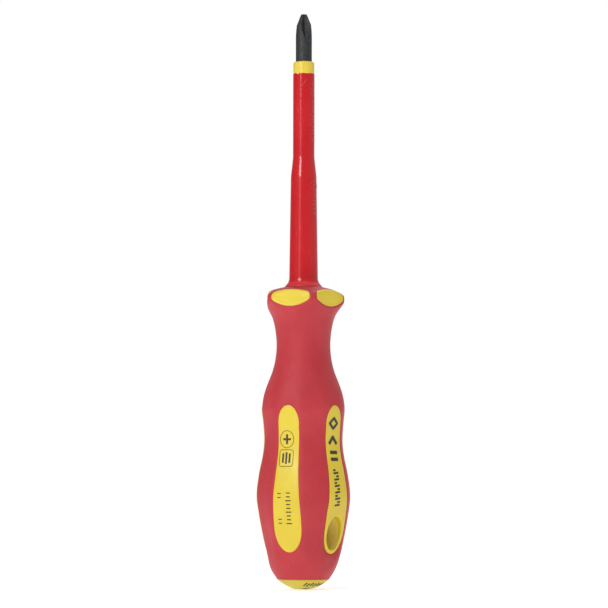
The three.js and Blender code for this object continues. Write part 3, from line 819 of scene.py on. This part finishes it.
def open_hole(points, facing, levels, grow, sunk):
    """Bends the grid round the oval hole and returns the ring of indices at its edge, the
    points of its wall, and the grid cells that it removes."""
    column = int(round(facing / (2 * math.pi) * GRIP_COLUMNS)) % GRIP_COLUMNS
    row = int(np.argmin(np.abs(levels - HOLE_CENTRE_Z)))
    core_columns, core_rows, spread = 9, 10, 9
    lip = 0.55
    lip_steps = [0, 0.06, 0.2, 0.4, lip]
    last_lip_step = len(lip_steps) - 1
    wall_depths = (1.2, 2.2, 3)
    outwards = np.array([math.cos(facing), math.sin(facing), 0])
    sideways = np.array([-math.sin(facing), math.cos(facing), 0])
    original = points.copy()

    def place(flat, drop):
        return on_handle(facing, flat[:, 0], flat[:, 1]) - np.outer(drop, outwards)

    def seen(grid, ring):
        """A ring of grid points, and the same as (across, up) seen facing the hole."""
        at = np.array([grid[r, c] for r, c in ring])
        return at, stacked(at @ sideways, at[:, 2])

    def oval(flat, outside):
        across = flat[:, 0] / HOLE_HALF_WIDTH
        turn = np.arctan2((flat[:, 1] - HOLE_CENTRE_Z) / HOLE_HALF_HEIGHT, across)
        return hole_oval(turn, grow + outside)

    for step in range(spread + 1):
        ring = hole_ring(row, column, core_rows + step, core_columns + step)
        was, flat = seen(original, ring)
        outside = lip_steps[min(step, last_lip_step)]
        share = float(smoothstep(max(step - last_lip_step, 0), 0, spread - last_lip_step))
        moved = oval(flat, outside) * (1 - share) + flat * share
        rounded = lip - math.sqrt(lip ** 2 - (lip - outside) ** 2)
        stays = (on_handle(facing, flat[:, 0], flat[:, 1]) - was) @ outwards
        drop = (rounded + sunk) * (1 - share) + stays * share
        for (r, c), point in zip(ring, place(moved, drop)):
            points[r, c] = point
    edge = hole_ring(row, column, core_rows, core_columns)
    flat = oval(seen(points, edge)[1], 0)
    wall = [place(flat, np.full(len(edge), sunk + depth)) for depth in wall_depths]
    removed = {
        (row - core_rows + i, (column - core_columns + j) % GRIP_COLUMNS)
        for i in range(2 * core_rows) for j in range(2 * core_columns)
    }
    return edge, wall, removed


def soft_grip():
    levels = grip_levels()
    count = GRIP_COLUMNS
    turn = full_turn(count)
    angle, z = np.meshgrid(turn, levels)
    radius = grip_surface(angle, z)
    points = round_axis(radius, angle, z)
    openings = [
        open_hole(points, 0, levels, 0.4, RECESS),
        open_hole(points, math.pi, levels, 0.2, 0),
    ]
    removed = set().union(*(opening[2] for opening in openings))
    faces = grid_faces(len(levels), count, removed)
    everything = [points.reshape(-1, 3)]
    used = points.shape[0] * count

    def add_rings(rings, first):
        nonlocal used
        before = first
        for ring in rings:
            after = list(range(used, used + len(ring)))
            everything.append(ring)
            size = len(before)
            faces.extend((before[i], before[(i + 1) % size], after[(i + 1) % size], after[i])
                         for i in range(size))
            used += len(ring)
            before = after

    for edge, wall, _ in openings:
        add_rings(wall, [r * count + c for r, c in edge])
    low_radius = float(radius[0].mean())
    low_edge = [(0.08, low_radius - 0.09), (0.02, low_radius - 0.2), (0.01, low_radius - 0.4),
                (0.01, 7)]
    add_rings([round_axis(r, turn, CAP_TOP_Z + rise) for rise, r in low_edge], range(count))
    top_edge = [(0.03, 6.85), (0.15, 6.72), (0.5, 6.7)]
    add_rings([round_axis(r, turn, GRIP_TOP_Z - drop) for drop, r in top_edge],
              range((len(levels) - 1) * count, len(levels) * count))
    piece("soft_grip_skin", np.concatenate(everything), faces, SOFT_RED, "soft_grip",
          ["soft_grip"])


# ---- inlays

PAD_EDGE_ROUNDING = 0.3
PAD_WALL = 0.55
PAD_BORDER = 0.13
PAD_FIELD = 0.02
PAD_CROWN = 0.08
STRIP_EDGE_ROUNDING = 0.22
STRIP_WALL = 0.8
STRIP_EDGE_SHARE = 0.55


def strip_height(depth, z):
    """How far a strip stands above the grip's surface, by depth inside its outline: nearly
    flush along its sides and standing out at both ends."""
    from_end = np.minimum(STRIP_TOP_Z - z, z - STRIP_BOTTOM_Z)
    rise = 1 - smoothstep(from_end, 0, STRIP_END_RISE)
    crest = STRIP_PROUD + (STRIP_END_PROUD - STRIP_PROUD) * rise
    return crest * (STRIP_EDGE_SHARE + (1 - STRIP_EDGE_SHARE) * smoothstep(depth, 0, 1.2))


def pad_height(depth, _):
    """The same for a flange pad: a raised border, and a slightly crowned field inside it."""
    border = PAD_BORDER - (PAD_BORDER - PAD_FIELD) * smoothstep(depth, 0.35, 0.8)
    return border + PAD_CROWN * smoothstep(depth, 0.8, 3)


def inlay(name, node, side, half, height, rounding, wall, hole=False):
    """A hard inlay: rounded edge, wall down into the grip, and ladder-like rows across. Each
    column of points runs up one half, from the outer wall's foot to the centre line."""
    facing = side_angle(side)
    outline = closed(half)
    rows = len(half)
    across = 10
    turns = np.linspace(0, math.pi / 2, 6)
    rims = [(0, wall)]
    rims += [(rounding * (1 - math.cos(a)), rounding * (1 - math.sin(a))) for a in turns]
    rims += [(rounding * 1.6, 0), (rounding * 2.2, 0)]
    columns = [(inset(half, inwards), drop, 0) for inwards, drop in rims]
    last = columns[-1][0]
    centre = stacked(np.zeros(rows), last[:, 1])
    first_hole = last_hole = -1
    if hole:
        lip = 0.45
        lip_wider_aside = 1.6
        first_hole = int(np.argmax(last[:, 1] > HOLE_CENTRE_Z - HOLE_HALF_HEIGHT + 0.3))
        last_hole = int(np.argmax(last[:, 1] > HOLE_CENTRE_Z + HOLE_HALF_HEIGHT + 0.1))
        turn = np.linspace(0, math.pi, last_hole - first_hole + 1)

        def holed(grow):
            """The centre line, with the hole's oval, grown by a margin, in its place."""
            flat = centre.copy()
            flat[first_hole:last_hole + 1] = stacked(
                (HOLE_HALF_WIDTH + grow * lip_wider_aside) * np.sin(turn),
                HOLE_CENTRE_Z - (HOLE_HALF_HEIGHT + grow) * np.cos(turn))
            return flat

        centre = holed(lip)
        low, high = centre[first_hole, 1], centre[last_hole, 1]
        rest = rows - last_hole
        centre[:first_hole, 1] = np.linspace(last[0, 1], low, first_hole + 1)[:-1]
        centre[last_hole:, 1] = np.maximum(last[last_hole:, 1],
                                           np.linspace(high, high + 0.05 * rest, rest))
        centre[-1, 1] = last[-1, 1]

    for step in range(1, across + 1):
        share = step / across
        columns.append((last * (1 - share) + centre * share, 0, 0))
    surface_columns = len(columns)
    if hole:
        columns += [(holed(lip * (1 - math.sin(a))), lip * (1 - math.cos(a)), 0)
                    for a in turns[1:]]
        columns += [(holed(0), lip, deep) for deep in (1.5, 4.6, 4.7)]
    else:
        columns.append((centre, wall, 0))

    total = len(columns)
    points, faces = [], []
    for sign in (1, -1):
        first = len(points)
        for flat, drop, deep in columns:
            at = flat * [sign, 1]
            top = height(np.maximum(depth_inside(at, outline), 0), at[:, 1]) - drop
            placed = raised_on_handle(facing, at[:, 0], at[:, 1], top)
            placed[:, :2] -= [deep * math.cos(facing), deep * math.sin(facing)]
            points.extend(placed)
        for r in range(rows - 1):
            in_hole = first_hole <= r < last_hole
            for c in range(total):
                if surface_columns - 1 <= c < total - 1 and not in_hole:
                    continue
                here = first + c * rows + r
                inner = first + (c + 1) % total * rows + r
                faces.append((here, inner, inner + 1, here + 1)[::sign])
    piece(name, points, faces, INLAY_YELLOW, "hard_yellow", [node])


def inlays():
    for side in range(SIDES):
        number = side + 1
        inlay(f"flange_pad_{number}", f"flange_inlay_{number}", side, pad_half(), pad_height,
              PAD_EDGE_ROUNDING, PAD_WALL)
        inlay(f"grip_strip_{number}", f"grip_inlay_{number}", side, strip_half(side), strip_height,
              STRIP_EDGE_ROUNDING, STRIP_WALL, hole=side == 0)


def hole_wall():
    """The smooth yellow wall of the hanging hole, through the handle's core, painted a paler yellow as
    painted light inside the hole.
    """
    turn = full_turn(96)
    rings = [np.insert(hole_oval(turn, grow), 0, x, axis=1)
             for x, grow in ((-13.6, 0.2), (-13.6, -0.02), (-13, -0.06), (13.1, -0.06),
                             (13.35, 0.2), (-13.6, 0.2))]
    piece("hanging_hole_wall", rings, grid_faces(len(rings), len(turn)), HOLE_YELLOW_PAINTED_LIGHT,
          "hard_yellow")


def end_cap():
    """The domed cap, with a flat underneath and a lightly rounded edge under the grip. Its yellow is
    painted darker, as painted shade on the cap.
    """
    shrunk = 0.02
    edge_rounding = 0.1
    top = CAP_TOP_Z
    corner = (top - edge_rounding, float(cap_profile(top)) - shrunk - edge_rounding)
    profile = [(0, 0), (0, 1.5), (0, 2.7), (0.03, 3)]
    profile += [(z, float(cap_profile(z)) - shrunk) for z in np.linspace(0.15, top - 0.15, 26)]
    profile += rounded_corner(corner, edge_rounding, 4, 20)
    profile += [(top, 6), (top, 0)]
    piece("end_cap_dome", *revolved(profile), CAP_YELLOW_PAINTED_SHADE, "hard_yellow", ["end_cap"])


# ---- printed and raised marks

PRINT_SECTION = [(-0.5, -0.06), (-0.5, 0.02), (-0.4, 0.03), (0.4, 0.03), (0.5, 0.02), (0.5, -0.06)]
RAISED_SECTION = [(-0.5, -0.1), (-0.45, 0.03), (-0.25, 0.1), (0, 0.12), (0.25, 0.1), (0.45, 0.03),
                  (0.5, -0.1)]
SCUFF_SECTION = [(-0.5, -0.05), (-0.3, 0.008), (0.3, 0.008), (0.5, -0.05)]
MARK_SPACING = 0.3


def line(start, end, spacing=MARK_SPACING):
    """Points along a straight line."""
    start, end = np.array(start, float), np.array(end, float)
    count = max(int(np.linalg.norm(end - start) / spacing), 1) + 1
    return start + (end - start) * np.linspace(0, 1, count)[:, None]


def lozenge_path(centre, half_width, half_height):
    """A closed path round a square that stands on its corner."""
    x, y = centre
    corners = [(x + half_width, y), (x, y + half_height), (x - half_width, y), (x, y - half_height)]
    return np.concatenate([line(a, b)[:-1] for a, b in zip(corners, corners[1:] + corners[:1])])


def oval_path(centre, half_width, half_height, count=32):
    turn = full_turn(count)
    return np.array(centre) + stacked(half_width * np.cos(turn), half_height * np.sin(turn))


def box_path(centre, half_width, half_height, corner):
    """A closed path round a box with rounded corners."""
    path = []
    for turn, (x, y) in enumerate(((1, 1), (-1, 1), (-1, -1), (1, -1))):
        middle = np.array([x * (half_width - corner), y * (half_height - corner)])
        bend = np.radians(np.linspace(90 * turn, 90 * turn + 90, 5))
        path.extend(middle + corner * stacked(np.cos(bend), np.sin(bend)))
    path = np.array(path + [path[0]])
    return np.array(centre) + evenly(path, MARK_SPACING)[:-1]


class Marks:
    """Bars and rings laid on a surface, gathered into one mesh."""

    def __init__(self, place, section):
        self.place = place
        self.section = section
        self.points = []
        self.faces = []

    def bar(self, path, width, closed_path=False):
        """A bar of a width, or of a width at each point, along a path of (across, up)."""
        path = np.asarray(path, float)
        if closed_path:
            along = np.roll(path, -1, axis=0) - np.roll(path, 1, axis=0)
        else:
            along = np.gradient(path, axis=0)
        along /= np.linalg.norm(along, axis=1, keepdims=True)
        sideways = stacked(along[:, 1], -along[:, 0])
        width = np.broadcast_to(width, len(path))[:, None]
        first, count, rows = len(self.points), len(self.section), len(path)
        layers = [self.place(*(path + sideways * share * width).T, height)
                  for share, height in self.section]
        self.points.extend(np.stack(layers, axis=1).reshape(-1, 3))
        self.faces += grid_faces(rows, count, first=first, joined=closed_path)
        if not closed_path:
            last = first + (rows - 1) * count
            self.faces.append(tuple(range(first, first + count)))
            self.faces.append(tuple(range(last, last + count))[::-1])

    def ring(self, path, width):
        self.bar(path, width, closed_path=True)

    def make(self, name, material, slot):
        piece(name, self.points, self.faces, material, slot)


def on_strip(side):
    """Places marks on a grip strip's raised surface."""
    outline = closed(strip_half(side))

    def place(s, z, height):
        depth = depth_inside(stacked(s, z), outline)
        crest = strip_height(np.maximum(depth, 0), z)
        return raised_on_handle(side_angle(side), s, z, crest + height)

    return place


def on_round(centre_turn, radius_at, sinks=0):
    """Places marks on a surface that goes round the axis; across is the distance round it from
    an angle. A height moves them outwards, and down by a share of it."""
    def place(across, z, height):
        radius = radius_at(z)
        return round_axis(radius + height, centre_turn + across / radius, z - sinks * height)

    return place


def printed_marks():
    """Plain printed shapes in place of the maker's lettering."""
    middle = -0.6
    plus_z = 54.1
    bars_z = 47.3
    safety = Marks(on_strip(4), PRINT_SECTION)
    safety.ring(oval_path((middle, plus_z), 2.6, 3.1), 0.22)
    safety.bar(line((-2.1, plus_z), (0.9, plus_z)), 0.75)
    safety.bar(line((middle, 52.3), (middle, 55.9)), 0.75)
    safety.ring(box_path((middle, bars_z), 2.6, 3, 0.9), 0.2)
    for shift, half in ((-1.25, 1.7), (0, 2.1), (1.25, 1.7)):
        safety.bar(line((middle + shift, bars_z - half), (middle + shift, bars_z + half)), 0.7)
    for row in range(9):
        half = 0.75 if row % 3 else 1.05
        z = 23.9 + row * 1.36
        safety.bar(line((0.8 - half, z), (0.8 + half, z)), 0.42)
    for z in (24, 25.4, 33.2, 34.6):
        safety.bar(line((-3.3, z), (-2, z)), 0.35)
    safety.make("printed_safety_marks", PRINT_BLACK, "hard_yellow")

    bold = Marks(on_strip(0), PRINT_SECTION)
    bold.ring(lozenge_path((-0.3, 59.9), 2.1, 1.9), 1.1)
    bold.bar(np.concatenate([line((-2.4, 52.4), (-0.3, 55)), line((-0.3, 55), (1.8, 52.4))[1:]]), 1.3)
    bold.bar(line((-2.3, 49.4), (1.7, 49.4)), 1.3)
    bold.bar(line((-2.3, 46.9), (1.7, 46.9)), 1.3)
    for row in range(6):
        z = 30.3 + row * 2.3
        bold.bar(line((-2.1, z), (0.7, z + 0.35)), 0.72)
        if row % 2:
            bold.bar(line((-2.1, z + 1.1), (-0.7, z + 1.25)), 0.72)
        else:
            bold.bar(line((-0.8, z + 1.2), (0.7, z + 1.4)), 0.72)
    bold.make("printed_size_marks", PRINT_BLACK, "hard_yellow")

    butt_place = on_round(VIEW_TURN + math.radians(34), cap_profile, sinks=1)
    butt = Marks(butt_place, PRINT_SECTION)
    for step in range(-3, 4):
        low = 1.1 + 0.25 * (step % 2)
        butt.bar(line((step * 1.25, low), (step * 1.25 + 0.45, low + 1.05), 0.2), 0.68)
    butt.bar(line((-2.4, 0.2), (-0.2, 0.2), 0.2), 0.3)
    butt.make("printed_butt_marks", PRINT_BLACK, "hard_yellow")


def raised_marks():
    """Moulded shapes on the sleeve in place of its raised lettering."""
    marks = Marks(on_round(VIEW_TURN + math.radians(58), sleeve_radius), RAISED_SECTION)
    for row, z in enumerate((184.2, 182.4, 180.6)):
        marks.ring(lozenge_path((0, z), 1.5 if row % 2 else 1.1, 0.6), 0.36)
    for row in range(8):
        z = 176.9 - row * 1.92
        if row % 2:
            marks.bar(line((-1.7, z - 0.3), (1.7, z + 0.3), 0.25), 0.42)
        else:
            marks.ring(lozenge_path((0, z), 1.7, 0.75), 0.38)
    marks.ring(oval_path((0, 146.8), 1.8, 1.7), 0.36)
    marks.ring(oval_path((0, 146.8), 0.7, 0.6, 16), 0.36)
    for row, z in enumerate((143, 141.4, 139.8, 138.2, 136.6)):
        half = 1.5 if row % 2 else 1.1
        marks.bar(line((-half, z), (half, z), 0.25), 0.42)
    marks.make("raised_sleeve_marks", GLOSS_RED, "outer_sleeve")


def scuffs():
    """A few pale scratches from use."""
    marks = Marks(on_round(VIEW_TURN, sleeve_radius), SCUFF_SECTION)
    for start, end, width in (((1.15, 186), (-0.8, 182.9), 0.16), ((1.3, 185.6), (0.9, 184.9), 0.1),
                              ((-2.6, 176), (-2.2, 173.2), 0.08), ((-0.9, 148.9), (-1.3, 148.3), 0.14),
                              ((2.2, 123), (1.9, 121.2), 0.07), ((-2.9, 130.4), (-2.7, 127.8), 0.07)):
        path = line(start, end, 0.4)
        taper = np.sin(np.linspace(0.15, math.pi - 0.15, len(path)))
        marks.bar(path, width * taper)
    marks.make("sleeve_scuffs", PALE_SCUFF, "outer_sleeve")


# ---- the object

blade()
tang_wings()
inner_insulation()
outer_insulation()
neck_collar()
soft_grip()
inlays()
hole_wall()
end_cap()
printed_marks()
raised_marks()
scuffs()
frame["nodes"]["handle_core"].data.materials.clear()
frame["nodes"]["handle_core"].data.materials.append(INLAY_YELLOW)

# ---- stage, light, camera

CAMERA_DISTANCE = 1.1
CAMERA_HEIGHT = 0.04
AIM_HEIGHT = 0.10359
AIM_ASIDE = 0.00018
CAMERA_ROLL = 0.0014
FRAME_HEIGHT = 0.2219

ROOM_LEFT = 0.62
ROOM_RIGHT = 0.48
ROOM_FRONT = 0.45
ROOM_BACK_LEFT = 0.2

LIT_PLACE = (0, 0, 0.105)
FLOOR_HALF_WIDTH = 3
FLOOR_DROP = 0.0002


def around(azimuth_from_camera, elevation, distance=1, centre=(0, 0, 0)):
    """A place seen at an angle to the camera's side of the object, positive to its right."""
    azimuth = VIEW_AZIMUTH + math.radians(azimuth_from_camera)
    lift = math.radians(elevation)
    out = Vector((math.sin(azimuth) * math.cos(lift), -math.cos(azimuth) * math.cos(lift),
                  math.sin(lift)))
    return Vector(centre) + out * distance


def staged(name, data, location, aim):
    """A lamp or camera turned from its place towards what it aims at."""
    made = bpy.data.objects.new(name, data)
    made.location = location
    made.rotation_mode = "QUATERNION"
    made.rotation_quaternion = (Vector(aim) - made.location).to_track_quat("-Z", "Y")
    bpy.context.scene.collection.objects.link(made)
    return made


def area_light(name, azimuth, elevation, distance, width, height, power):
    lamp = bpy.data.lights.new(name, "AREA")
    lamp.shape = "RECTANGLE"
    lamp.size = width
    lamp.size_y = height
    lamp.energy = power
    staged(name, lamp, around(azimuth, elevation, distance, LIT_PLACE), LIT_PLACE)


def floor():
    mesh = bpy.data.meshes.new("floor")
    half = FLOOR_HALF_WIDTH
    mesh.from_pydata([(-half, -half, 0), (half, -half, 0), (half, half, 0), (-half, half, 0)],
                     [], [(0, 1, 2, 3)])
    mesh.materials.append(pale_floor())
    made = bpy.data.objects.new("floor", mesh)
    made.location.z = -FLOOR_DROP
    bpy.context.scene.collection.objects.link(made)


def world():
    """A pale room, dim behind the camera and to the object's left; what the camera sees of
    it is white."""
    studio = bpy.data.worlds.new("studio")
    bpy.context.scene.world = studio
    made = Nodes(studio, "Generated")

    def towards(azimuth, low, high, low_out, high_out):
        """The room's strength by how nearly a direction points at an azimuth."""
        dot = made.add("VectorMath", "Value", {0: made.place, 1: around(azimuth, 0)},
                       operation="DOT_PRODUCT")
        return made.ramp(dot, low, high, low_out, high_out)

    sides = made.times(towards(-90, -1, 1, ROOM_RIGHT, ROOM_LEFT),
                       towards(-110, 0.5, 1, 1, ROOM_BACK_LEFT))
    strength = made.times(sides, towards(0, 0.2, 0.95, 1, ROOM_FRONT))
    lit = made.tree.nodes["Background"]
    made.feed(lit, {"Color": (1, 1, 1, 1), "Strength": strength})
    seen = made.add("Background", "Background", {"Color": (1, 1, 1, 1), "Strength": 1})
    camera_ray = made.add("LightPath", "Is Camera Ray", {})
    mix = made.add("MixShader", "Shader", {"Fac": camera_ray, 1: lit.outputs[0], 2: seen})
    made.feed(made.tree.nodes["World Output"], {"Surface": mix})


def camera():
    data = bpy.data.cameras.new("camera")
    data.sensor_width = 36
    data.clip_start = 0.05
    data.clip_end = 20
    aside = around(90, 0) * AIM_ASIDE
    aim = aside + Vector((0, 0, AIM_HEIGHT))
    place = around(0, 0, CAMERA_DISTANCE, (0, 0, CAMERA_HEIGHT)) + aside
    data.lens = data.sensor_width * (aim - place).length / FRAME_HEIGHT
    made = staged("camera", data, place, aim)
    made.rotation_quaternion @= Quaternion((0, 0, 1), CAMERA_ROLL)
    bpy.context.scene.camera = made


floor()
world()
area_light("key_left", -34, 27, 1.1, 0.26, 0.5, 4.6)
area_light("streak_left", -34, 2, 1.1, 0.2, 0.7, 0.5)
area_light("fill_top", 20, 65, 1.2, 0.8, 0.8, 2)
area_light("sheen_top", 165, 50, 1.2, 0.8, 0.5, 3)
camera()
bpy.context.scene.view_settings.view_transform = "Standard"
